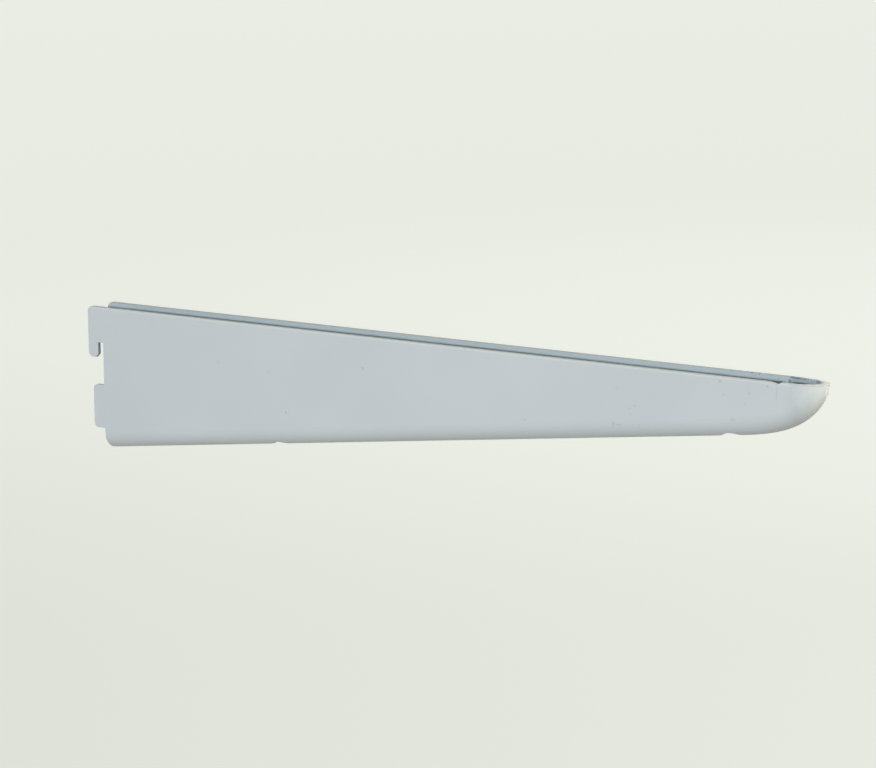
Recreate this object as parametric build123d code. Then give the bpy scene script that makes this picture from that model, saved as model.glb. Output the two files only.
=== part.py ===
from build123d import *
import os
from math import atan, cos, sin

# Slotted shelf bracket: one sheet of steel folded to a channel with a round bottom. The walls taper
# from the upright to a pressed, boat-shaped nose, and hooks on their rear edges hold the slots.
#
# Frame: X runs out from the upright's face, Y across the bracket, Z up. The origin lies on the rear
# bearing edge (X 0), half way between the walls (Y 0), at the shelf's level (Z 0). Millimetres.

# The sheet and the channel.
sheet = 1.3              # thickness of the steel
width = 11.8             # over both walls
reach = 261.3            # from the upright's face to the tip of the nose
heel_height = 49.0       # of the walls at the upright
nose_depth = 17.55       # of the channel where the nose begins
nose_length = 25.4       # from there to the tip
edge_round = 0.3         # on the walls' upper edges

# The nose: five points draw its bottom line, and its sections shrink as their depth does.
nose_run = 18.0          # from the first point to the second, which lies on the arm's slope
chin_back = 6.65         # from the tip back to the third
chin_depth = 10.9
nose_rise = 6.7          # from the fourth up to the tip
plan_share = 0.495       # half width for each millimetre of depth, near the tip
bow_share = 0.67         # height of the round bottom for each millimetre of depth, near the tip
tip_wall = 2.0           # the metal gathers at the tip
blend = 12               # how closely a section keeps its full width before it shrinks
nose_spans = (0.0, 0.2, 0.38, 0.52, 0.66, 0.8, 0.92, 0.985)

# The upright's slots, which the hooks follow.
slot_pitch = 32.0
slot_height = 18.9

# The upper hook: its neck stands on the slot's lower end and its finger drops behind the plate.
neck_height = 12.2
hook_throat = 2.2        # room for the upright's plate
hook_reach = 6.4
finger_drop = 5.2
hook_round = 2.0
finger_lead = 1.2

# The lower lug: a plain tongue in the next slot.
lug_headroom = 1.4       # between the slot's upper end and the lug
lug_height = 14.9
lug_reach = 4.6
lug_round = 1.6

# The round holes through the bottom.
hole_radius = 3.5
rear_hole = 70.0         # from the upright's face
front_hole_back = 29.6   # from the tip

# The notch in the near wall's edge, each place measured back from the tip.
notch_rear = 16.3
notch_foot = 13.5
notch_front = 12.3
notch_depth = 0.65

half = width / 2
nose_start = reach - nose_length
slope = (heel_height - nose_depth) / nose_start
tilt = atan(slope)
lug_top = neck_height - slot_height + slot_pitch + lug_headroom
overlap = 3.0            # how far a hook's blank runs into its wall
quarter = 0.5523         # handle of a quarter ellipse drawn as a cubic curve


def soft_rim(half_width, lip):
    """The top of an outline, from far to near: its corners turn in by a negative lip, or flare out."""
    size = abs(lip)
    start, handle = (half_width, -size), (half_width, (quarter - 1) * size)
    turn, end = (half_width + (1 - quarter) * lip, 0), (half_width + lip, 0)
    far = Bezier(start, handle, turn, end)
    near = Bezier(*[(-across, up) for across, up in (end, turn, handle, start)])
    return [far, Line(end, (-end[0], 0)), near]


def outline(x, pieces):
    """A face square to X from pieces drawn in Y and Z."""
    return Plane(origin=(x, 0, 0), x_dir=(0, 1, 0), z_dir=(1, 0, 0)) * make_face(pieces)


def section(x, half_width, depth, bow, rim):
    """The outline at one X: half an ellipse of height bow below, upright sides, and a rim on top."""
    knee = bow - depth
    near_side = Line(rim[-1] @ 1, (-half_width, knee))
    bottom = EllipticalCenterArc((0, knee), half_width, bow, 180, arc_size=180)
    far_side = Line((half_width, knee), rim[0] @ 0)
    return outline(x, [near_side, bottom, far_side] + rim)


def arm(inset, lip):
    """The straight part up to the nose: a round trough along the sloping bottom, cut level on top."""
    side = half - inset
    across = Plane(origin=(0, 0, -heel_height), x_dir=(0, 1, 0), z_dir=(cos(tilt), 0, sin(tilt)))
    bottom = CenterArc((0, half), side, 180, 180)
    top = half + heel_height
    walls = Polyline((side, half), (side, top), (-side, top), (-side, half))
    trough = extrude(across * make_face([bottom, walls]), reach, both=True)
    rim = soft_rim(side, lip)
    low = -heel_height if lip < 0 else -2 * lip
    sides = Polyline(rim[-1] @ 1, (-side, low), (side, low), rim[0] @ 0)
    level = extrude(outline(0, [sides] + rim), nose_start)
    if lip < 0:
        return trough & level
    below = Box(nose_start, width, heel_height, align=(Align.MIN, Align.CENTER, Align.MAX))
    return (trough & below) + level


def soft_min(first, second):
    """The smaller of two lengths, with a smooth change from one to the other."""
    return (first ** -blend + second ** -blend) ** (-1 / blend)


def nose(inset, lip):
    """The pressed nose, lofted in short spans through sections that shrink towards the tip."""
    side = half - inset
    tip = reach - tip_wall * inset / sheet
    start_depth = nose_depth - inset / cos(tilt)
    profile = Bezier(
        (nose_start, -start_depth),
        (nose_start + nose_run, nose_run * slope - start_depth),
        (tip - chin_back, inset - chin_depth),
        (tip, -nose_rise),
        (tip, 0),
    )
    round_height = side / cos(tilt)
    full_width = soft_min(side, plan_share * start_depth)
    full_bow = soft_min(round_height, bow_share * start_depth)

    def slice_at(share):
        point = profile @ share
        depth = -point.Y
        half_width = side * soft_min(side, plan_share * depth) / full_width
        bow = round_height * soft_min(round_height, bow_share * depth) / full_bow
        rim = soft_rim(half_width, lip * min(1, (depth - bow) / 2 / abs(lip)))
        return section(point.X, half_width, depth, bow, rim)

    solid = None
    for start, end in zip(nose_spans, nose_spans[1:]):
        span = loft([slice_at(start + (end - start) * third / 3) for third in range(4)])
        solid = span if solid is None else solid + span
    return solid


def channel():
    """The folded sheet: the outer form less the inner one."""
    outer = arm(0, -edge_round) + nose(0, -edge_round)
    inner = arm(sheet, edge_round) + nose(sheet, edge_round)
    return outer - inner


def wall_pair(outline, corners, radius):
    """A flat blank cut for both walls from its outline in X and Z, with some corners rounded."""
    face = Plane.XZ * make_face(Polyline(*outline, close=True))
    spots = [Vector(x, 0, z) for x, z in corners]
    rounded = [face.vertices().sort_by_distance(spot)[0] for spot in spots]
    face = fillet(rounded, radius)
    near = Pos(0, sheet - half, 0) * extrude(face, sheet)
    far = Pos(0, half, 0) * extrude(face, sheet)
    return near + far


def upper_hooks():
    """A neck in the upper slot with a finger that drops behind the upright's plate."""
    low = -neck_height - finger_drop
    back = [(-hook_reach, 0), (-hook_reach, low)]
    lead = [(-hook_throat - finger_lead, low), (-hook_throat, low + finger_lead)]
    seat = [(-hook_throat, -neck_height), (overlap, -neck_height)]
    join = [(overlap, -edge_round), (0, -edge_round), (0, 0)]
    return wall_pair(back + lead + seat + join, back, hook_round)


def lower_lugs():
    """A tongue in the lower slot, which keeps the bracket straight."""
    low = -lug_top - lug_height
    back = [(-lug_reach, -lug_top), (-lug_reach, low)]
    return wall_pair([(overlap, -lug_top)] + back + [(overlap, low)], back, lug_round)


def hole(x):
    """An upright round cutter through the bottom at X."""
    return Pos(x, 0, slope * x - heel_height) * Cylinder(hole_radius, width)


def notch():
    """A shallow V in the near wall's edge."""
    rear, foot, front = reach - notch_rear, reach - notch_foot, reach - notch_front
    outline = [(rear, 0), (rear, notch_depth), (front, notch_depth), (front, 0), (foot, -notch_depth)]
    face = Plane.XZ * make_face(Polyline(*outline, close=True))
    return extrude(face, half)


def bracket():
    body = channel() + upper_hooks() + lower_lugs()
    return body - hole(rear_hole) - hole(reach - front_hole_back) - notch()


os.makedirs("parts", exist_ok=True)
export_step(bracket(), "parts/bracket.step")
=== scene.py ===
import bpy
import bmesh
from math import radians
from mathutils import Euler, Matrix, Vector

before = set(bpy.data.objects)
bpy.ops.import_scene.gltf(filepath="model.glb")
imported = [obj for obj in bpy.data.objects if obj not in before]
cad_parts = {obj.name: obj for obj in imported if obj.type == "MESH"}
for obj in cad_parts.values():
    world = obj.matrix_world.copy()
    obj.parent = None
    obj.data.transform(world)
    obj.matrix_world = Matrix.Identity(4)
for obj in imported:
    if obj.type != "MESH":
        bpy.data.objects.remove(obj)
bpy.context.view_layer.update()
scene = bpy.context.scene
mm = 0.001               # in metres, as everything in the scene is


def new_group(name, inputs, outputs):
    """An empty node group, with its sockets, its input node and its output node."""
    group = bpy.data.node_groups.new(name, "ShaderNodeTree")
    for label, kind, value in inputs:
        socket = group.interface.new_socket(label, in_out="INPUT", socket_type=kind)
        socket.default_value = value
    for label, kind in outputs:
        group.interface.new_socket(label, in_out="OUTPUT", socket_type=kind)
    given = group.nodes.new("NodeGroupInput").outputs
    result = group.nodes.new("NodeGroupOutput").inputs
    return group, given, result


def plug(tree, socket, value):
    """Link an output to a socket, or set the socket to a number or a tuple."""
    if isinstance(value, (int, float, tuple)):
        socket.default_value = value
    else:
        tree.links.new(value, socket)


def math_node(tree, operation, first, second=None, clamp=False):
    """A Math node on one or two numbers."""
    node = tree.nodes.new("ShaderNodeMath")
    node.operation = operation
    node.use_clamp = clamp
    plug(tree, node.inputs[0], first)
    if second is not None:
        plug(tree, node.inputs[1], second)
    return node.outputs[0]


def vector_node(tree, operation, first, second=(0, 0, 0)):
    """A Vector Math node; a length, distance or dot product is a number, the rest are vectors."""
    node = tree.nodes.new("ShaderNodeVectorMath")
    node.operation = operation
    plug(tree, node.inputs[0], first)
    plug(tree, node.inputs[1], second)
    return node.outputs["Value" if operation in ("LENGTH", "DOT_PRODUCT", "DISTANCE") else "Vector"]


def blend_colour(tree, share, under, over, way="MIX"):
    """One colour laid over another, by the share of the upper one."""
    node = tree.nodes.new("ShaderNodeMix")
    node.data_type = "RGBA"
    node.blend_type = way
    for slot, value in ((0, share), (6, under), (7, over)):
        plug(tree, node.inputs[slot], value)
    return node.outputs[2]


def noise(tree, where, scale, detail=2.0, roughness=0.5):
    """A noise that changes with the place; its scale is in cells for each metre."""
    node = tree.nodes.new("ShaderNodeTexNoise")
    plug(tree, node.inputs["Vector"], where)
    for label, value in (("Scale", scale), ("Detail", detail), ("Roughness", roughness)):
        plug(tree, node.inputs[label], value)
    return node.outputs[0]


def step_between(tree, value, low, high, to_low=0.0, to_high=1.0):
    """A smooth change from one number to another as the value goes from low to high."""
    node = tree.nodes.new("ShaderNodeMapRange")
    node.interpolation_type = "SMOOTHSTEP"
    for slot, number in enumerate((value, low, high, to_low, to_high)):
        plug(tree, node.inputs[slot], number)
    return node.outputs[0]


def split(tree, vector):
    """The three numbers of a vector."""
    node = tree.nodes.new("ShaderNodeSeparateXYZ")
    tree.links.new(vector, node.inputs[0])
    return node.outputs


def seen_rays(tree):
    """1 for the rays that show a background: to the camera, in a reflection and through glass."""
    path = tree.nodes.new("ShaderNodeLightPath").outputs
    rays = math_node(tree, "ADD", path["Is Camera Ray"], path["Is Glossy Ray"])
    return math_node(tree, "ADD", rays, path["Is Transmission Ray"], clamp=True)


def powder_skin():
    """Powder paint's skin: faint clouds of tone, and the soft close dimples of its orange peel."""
    group, given, result = new_group(
        "powder_skin",
        (
            ("Place", "NodeSocketVector", (0, 0, 0)),
            ("Clouds", "NodeSocketFloat", 22.0),
            ("Peel", "NodeSocketFloat", 900.0),
        ),
        (("Tone", "NodeSocketFloat"), ("Height", "NodeSocketFloat")),
    )
    clouds = noise(group, given["Place"], given["Clouds"], 3.0, 0.55)
    group.links.new(step_between(group, clouds, 0.3, 0.7), result["Tone"])
    dimples = noise(group, given["Place"], given["Peel"], 2.0, 0.5)
    group.links.new(dimples, result["Height"])
    return group


def paint_mark():
    """A mark in the paint: an egg-shaped patch whose edge may be soft or ragged."""
    group, given, result = new_group(
        "paint_mark",
        (
            ("Place", "NodeSocketVector", (0, 0, 0)),
            ("Centre", "NodeSocketVector", (0, 0, 0)),
            ("Reach", "NodeSocketVector", (1, 1, 1)),
            ("Core", "NodeSocketFloat", 0.3),
            ("Ragged", "NodeSocketFloat", 0.0),
            ("Strength", "NodeSocketFloat", 1.0),
        ),
        (("Mask", "NodeSocketFloat"),),
    )
    offset = vector_node(group, "SUBTRACT", given["Place"], given["Centre"])
    span = vector_node(group, "LENGTH", vector_node(group, "DIVIDE", offset, given["Reach"]))
    frays = math_node(group, "SUBTRACT", noise(group, given["Place"], 1400.0, 2.0, 0.6), 0.5)
    span = math_node(group, "ADD", span, math_node(group, "MULTIPLY", frays, given["Ragged"]))
    inside = step_between(group, span, given["Core"], 1.0, 1.0, 0.0)
    group.links.new(math_node(group, "MULTIPLY", inside, given["Strength"]), result["Mask"])
    return group


skin_group = powder_skin()
mark_group = paint_mark()

# The paint on the bracket.
steel_paint = bpy.data.materials.new("powder_coat_grey")
steel_paint.use_nodes = True
tree = steel_paint.node_tree
shader = tree.nodes["Principled BSDF"]
spots = tree.nodes.new("ShaderNodeTexCoord")
place = spots.outputs["Object"]
along, across, up = split(tree, place)

skin = tree.nodes.new("ShaderNodeGroup")
skin.node_tree = skin_group
tree.links.new(place, skin.inputs["Place"])


def mark(centre, reach, strength=1.0, core=0.3, ragged=0.0):
    """The mask of one mark; its centre and its reach along X, Y and Z are in millimetres.

    It is full strength in its core, a share of its reach, and its edge wanders if it is ragged.
    """
    node = tree.nodes.new("ShaderNodeGroup")
    node.node_tree = mark_group
    tree.links.new(place, node.inputs["Place"])
    node.inputs["Centre"].default_value = [length * mm for length in centre]
    node.inputs["Reach"].default_value = [length * mm for length in reach]
    node.inputs["Core"].default_value = core
    node.inputs["Ragged"].default_value = ragged
    node.inputs["Strength"].default_value = strength
    return node.outputs["Mask"]


def together(masks):
    """One mask from several: the strongest at each place."""
    whole = masks[0]
    for mask in masks[1:]:
        whole = math_node(tree, "MAXIMUM", whole, mask)
    return whole


def overlap(first, second):
    """The mask of what lies in both."""
    return math_node(tree, "MULTIPLY", first, second)


def rising(value, low, high):
    """A mask that comes in as a length grows from low to high, both given in millimetres."""
    return step_between(tree, value, low * mm, high * mm)


def falling(value, low, high):
    """A mask that fades out as a length grows from low to high, both given in millimetres."""
    return step_between(tree, value, low * mm, high * mm, 1.0, 0.0)


# Specks of grit and faint stains on the near wall: X, Z, half length, half height and strength.
specks = (
    (48.74, -13.99, 1.30, 1.10, 0.10), (69.22, -15.23, 1.20, 1.10, 0.10),
    (76.03, -27.76, 0.60, 0.75, 0.26), (77.30, -27.10, 0.40, 0.45, 0.12),
    (105.94, -10.31, 0.75, 0.80, 0.24), (165.13, -20.02, 0.60, 0.60, 0.18),
    (195.55, -17.75, 0.75, 0.85, 0.24), (197.30, -17.95, 1.30, 0.50, 0.16),
    (196.40, -6.90, 1.50, 1.20, 0.06), (202.00, -17.35, 0.55, 0.50, 0.13),
    (204.10, -17.15, 0.50, 0.45, 0.13), (203.00, -10.30, 0.45, 0.60, 0.10),
    (202.75, -11.65, 0.50, 0.60, 0.20), (200.75, -12.75, 0.90, 0.45, 0.17),
    (201.25, -14.35, 0.50, 0.60, 0.16), (230.00, -1.50, 0.70, 0.45, 0.32),
    (231.19, -5.25, 0.60, 0.55, 0.16), (234.23, -12.23, 1.00, 0.90, 0.14),
    (238.00, -7.37, 0.65, 0.55, 0.14), (239.35, -4.08, 0.55, 0.50, 0.18),
    (244.88, -1.47, 0.50, 0.60, 0.26),
)
near_face = -5.9         # Y of the near wall's outside
speck_depth = 1.2        # how far a speck's mark reaches in Y
speck_core = 0.25
speck_ragged = 0.5
grit = together([
    mark((x, near_face, z), (long, speck_depth, high), strength, speck_core, speck_ragged)
    for x, z, long, high, strength in specks
])

# Marks on the far wall's inner face at the nose's mouth: a panel of painted shade, chips in the
# paint along the far rim together with painted shade low in the mouth and at its tip, and painted
# glints.
mouth_shade = mark((251.4, 4.0, -1.5), (5.3, 1.9, 1.9), 1.0, 0.8, 0.25)
chips_and_mouth_shade = together([
    mark((247.9, 4.7, -0.20), (1.00, 0.6, 0.40), 0.85, 0.5, 0.8),
    mark((249.4, 4.7, -0.36), (1.40, 0.6, 0.34), 0.90, 0.5, 0.9),
    mark((251.4, 4.7, -0.34), (1.30, 0.6, 0.28), 0.70, 0.4, 0.9),
    mark((253.3, 4.6, -0.36), (0.80, 0.6, 0.24), 0.50, 0.4, 0.9),
    mark((247.0, 4.6, -1.50), (0.60, 0.6, 1.00), 0.75, 0.4, 0.5),
    mark((256.3, 3.7, -0.55), (1.90, 1.5, 0.65), 0.62, 0.5, 0.7),
    mark((250.0, 4.6, -1.65), (3.60, 0.8, 0.42), 0.60, 0.4, 0.5),
    mark((237.45, 4.7, -0.20), (0.35, 0.5, 0.45), 0.7, 0.4, 0.5),
    mark((235.10, 4.7, -0.15), (0.70, 0.5, 0.30), 0.6, 0.4, 0.7),
    mark((243.45, 4.6, -0.98), (0.35, 0.5, 0.35), 0.5, 0.4, 0.3),
])
glints = together([
    mark((253.2, 4.5, -0.62), (0.35, 0.6, 0.45), 0.6, 0.3, 0.5),
    mark((255.0, 4.2, -0.95), (0.32, 0.7, 0.30), 0.7, 0.3, 0.5),
])

# Marks on the nose's outside: a patchy smudge that is partly painted shade, the painted shade of a
# short upright crease, and a painted highlight as a pale strip at its tip.
patches = step_between(tree, noise(tree, place, 420.0, 2.0, 0.6), 0.35, 0.65, 0.65, 1.0)
smudge_and_shade = overlap(patches, mark((254.6, -4.8, -6.0), (6.2, 3.6, 9.5), 0.34, 0.2, 0.5))
crease_shade = mark((247.7, near_face, -3.3), (0.35, 0.6, 2.8), 0.16, 0.4, 0.2)
tip_highlight = mark((261.3, 0.4, -2.5), (1.6, 2.9, 2.2), 0.8, 0.5, 0.2)

# Painted shade on the inner faces, which lie in the channel: there the surface looks towards the
# channel's middle.
lean = vector_node(tree, "MULTIPLY", spots.outputs["Normal"], (0, 1, 1))
painted_inner_shade = falling(vector_node(tree, "DOT_PRODUCT", place, lean), -2.5, -0.4)

# The upper edges: painted shade on the walls' flat rims, a painted highlight on the outer corners
# along them, and a painted highlight on the nose's rim, with the darker line below it on the near
# side.
shaded_rim_top = overlap(rising(up, -0.4, -0.1), falling(along, 246, 252))
from_middle = math_node(tree, "ABSOLUTE", across)
painted_edge_highlight = overlap(rising(up, -1.2, -0.3), rising(from_middle, 5.6, 5.8))
rim_highlight = overlap(rising(up, -0.12, -0.02), rising(along, 249, 254))
nose_line = overlap(rising(up, -0.5, -0.3), rising(along, 250, 254))
nose_line = overlap(nose_line, falling(across, 0, 1))


def tinted(mask, colour, tint):
    """The colour multiplied by a tint where the mask lies."""
    return blend_colour(tree, mask, colour, blend_colour(tree, 1.0, colour, tint, "MULTIPLY"))


clouds = skin.outputs["Tone"]
tone = blend_colour(tree, clouds, (0.552, 0.606, 0.634, 1), (0.570, 0.622, 0.650, 1))
# Painted shade on the channel's inner faces.
tone = tinted(painted_inner_shade, tone, (0.80, 0.865, 0.895, 1))
# Painted highlight along the rims' outer corners.
tone = blend_colour(tree, painted_edge_highlight, tone, (0.62, 0.67, 0.69, 1))
# Painted shade on the flat rim tops.
tone = tinted(shaded_rim_top, tone, (0.81, 0.80, 0.77, 1))
for layer, colour in (
    # painted shade in the mouth
    (mouth_shade, (0.325, 0.41, 0.46, 1)),
    # chips along the far rim, with painted shade in the mouth
    (chips_and_mouth_shade, (0.12, 0.16, 0.19, 1)),
    (nose_line, (0.40, 0.44, 0.46, 1)),
    # painted glints in the mouth
    (glints, (0.60, 0.66, 0.69, 1)),
    # painted highlight on the nose's rim
    (rim_highlight, (0.84, 0.86, 0.84, 1)),
    # painted highlight at the nose's tip
    (tip_highlight, (0.73, 0.78, 0.80, 1)),
    (grit, (0.20, 0.23, 0.25, 1)),
    # painted shade of the crease
    (crease_shade, (0.25, 0.28, 0.30, 1)),
    # smudge, partly painted shade
    (smudge_and_shade, (0.36, 0.42, 0.45, 1)),
):
    tone = blend_colour(tree, layer, tone, colour)
tree.links.new(tone, shader.inputs["Base Color"])

gloss = step_between(tree, clouds, 0.0, 1.0, 0.31, 0.38)
dulled = math_node(tree, "MULTIPLY", together([grit, chips_and_mouth_shade, rim_highlight]), 0.2)
tree.links.new(math_node(tree, "ADD", gloss, dulled), shader.inputs["Roughness"])

bump = tree.nodes.new("ShaderNodeBump")
bump.inputs["Strength"].default_value = 0.06
bump.inputs["Distance"].default_value = 0.2 * mm
tree.links.new(skin.outputs["Height"], bump.inputs["Height"])
tree.links.new(bump.outputs["Normal"], shader.inputs["Normal"])

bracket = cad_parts["bracket"]
for slot in bracket.material_slots:
    slot.material = steel_paint

# Floor, light and camera.
floor_level = -0.45
floor_reach = 30.0
floor_mesh = bpy.data.meshes.new("floor")
grid = bmesh.new()
down = Matrix.Translation((0, 0, floor_level))
bmesh.ops.create_grid(grid, x_segments=1, y_segments=1, size=floor_reach, matrix=down)
grid.to_mesh(floor_mesh)
grid.free()
floor = bpy.data.objects.new("floor", floor_mesh)
scene.collection.objects.link(floor)

# The floor's glow has a painted pool of light behind the bracket, a little stronger, and painted
# shade in front of it, a little weaker.
floor_paint = bpy.data.materials.new("pale_floor")
floor_paint.use_nodes = True
floor_tree = floor_paint.node_tree
floor_shader = floor_tree.nodes["Principled BSDF"]
floor_shader.inputs["Base Color"].default_value = (0.33, 0.315, 0.27, 1)
floor_shader.inputs["Roughness"].default_value = 0.9
glow = floor_tree.nodes.new("ShaderNodeEmission")
glow.inputs["Color"].default_value = (0.688, 0.712, 0.656, 1)
floor_place = floor_tree.nodes.new("ShaderNodeTexCoord").outputs["Object"]
pool_middle = (-0.3, 2.6, floor_level)
from_pool = vector_node(floor_tree, "DISTANCE", floor_place, pool_middle)
painted_light_pool = step_between(floor_tree, from_pool, 0.3, 2.2, 1.07, 1.0)
to_rear = split(floor_tree, floor_place)["Y"]
painted_front_shade = step_between(floor_tree, to_rear, 0.3, 2.0, 0.86, 1.0)
share = math_node(floor_tree, "MULTIPLY", painted_light_pool, painted_front_shade)
share = math_node(floor_tree, "MULTIPLY", seen_rays(floor_tree), share)
floor_tree.links.new(share, glow.inputs["Strength"])
lit_and_glowing = floor_tree.nodes.new("ShaderNodeAddShader")
floor_tree.links.new(floor_shader.outputs[0], lit_and_glowing.inputs[0])
floor_tree.links.new(glow.outputs[0], lit_and_glowing.inputs[1])
surface = floor_tree.nodes["Material Output"].inputs["Surface"]
floor_tree.links.new(lit_and_glowing.outputs[0], surface)
floor_mesh.materials.append(floor_paint)

# The room lights the bracket from low down and from the left, and shows as a plain pale tone.
world = bpy.data.worlds.new("soft_room")
scene.world = world
world.use_nodes = True
room_tree = world.node_tree
room_light = room_tree.nodes["Background"]
room_light.inputs["Color"].default_value = (0.94, 0.98, 1.0, 1)
way = split(room_tree, room_tree.nodes.new("ShaderNodeTexCoord").outputs["Generated"])
to_right = math_node(room_tree, "MULTIPLY", way["X"], 0.35)
from_left = math_node(room_tree, "SUBTRACT", 1.0, to_right)
low_light = step_between(room_tree, way["Z"], 0.15, 0.85, 0.55, 0.08)
strength = math_node(room_tree, "MULTIPLY", low_light, from_left)
room_tree.links.new(strength, room_light.inputs["Strength"])
pale_room = room_tree.nodes.new("ShaderNodeBackground")
pale_room.inputs["Color"].default_value = (0.78, 0.81, 0.745, 1)
shown = room_tree.nodes.new("ShaderNodeMixShader")
room_tree.links.new(seen_rays(room_tree), shown.inputs[0])
room_tree.links.new(room_light.outputs[0], shown.inputs[1])
room_tree.links.new(pale_room.outputs[0], shown.inputs[2])
room_tree.links.new(shown.outputs[0], room_tree.nodes["World Output"].inputs["Surface"])


def panel_light(name, place, aim, size, power, colour=(1, 1, 1), spread=110):
    """A square lamp that looks at a point; its power is in watts and its spread in degrees."""
    lamp = bpy.data.lights.new(name, "AREA")
    lamp.shape = "SQUARE"
    lamp.size = size
    lamp.energy = power
    lamp.color = colour
    lamp.spread = radians(spread)
    stand = bpy.data.objects.new(name, lamp)
    stand.location = place
    stand.rotation_euler = (Vector(aim) - Vector(place)).to_track_quat("-Z", "Y").to_euler()
    scene.collection.objects.link(stand)


arm_middle = (0.13, 0, -0.02)
nose_tip = (0.26, 0, 0)
panel_light("key", (0.375, -1.985, 0.33), arm_middle, 0.12, 9.0)
panel_light("side", (0.60, 0.03, 0.22), nose_tip, 0.15, 1.32, (1.0, 0.91, 0.66), 180)
panel_light("glint", (0.80, 0.08, 0.02), nose_tip, 0.05, 0.48, (1.0, 0.95, 0.85), 180)
panel_light("back", (0.80, 1.75, 0.10), arm_middle, 0.5, 4.0, (0.96, 0.98, 1.0), 90)

camera_data = bpy.data.cameras.new("camera")
camera = bpy.data.objects.new("camera", camera_data)
scene.collection.objects.link(camera)
scene.camera = camera
camera_data.sensor_fit = "HORIZONTAL"
camera_data.sensor_width = 36
camera_data.lens = 99.56
camera_data.clip_start = 0.01
camera_data.clip_end = 100
camera.location = (0.52823, -0.62531, 0.12864)
look_down, look_round, roll = radians(10.869), radians(32.469), radians(0.1)
turn = Euler((radians(90) - look_down, 0, look_round)).to_matrix() @ Matrix.Rotation(roll, 3, "Z")
camera.rotation_euler = turn.to_euler()

scene.view_settings.view_transform = "Standard"
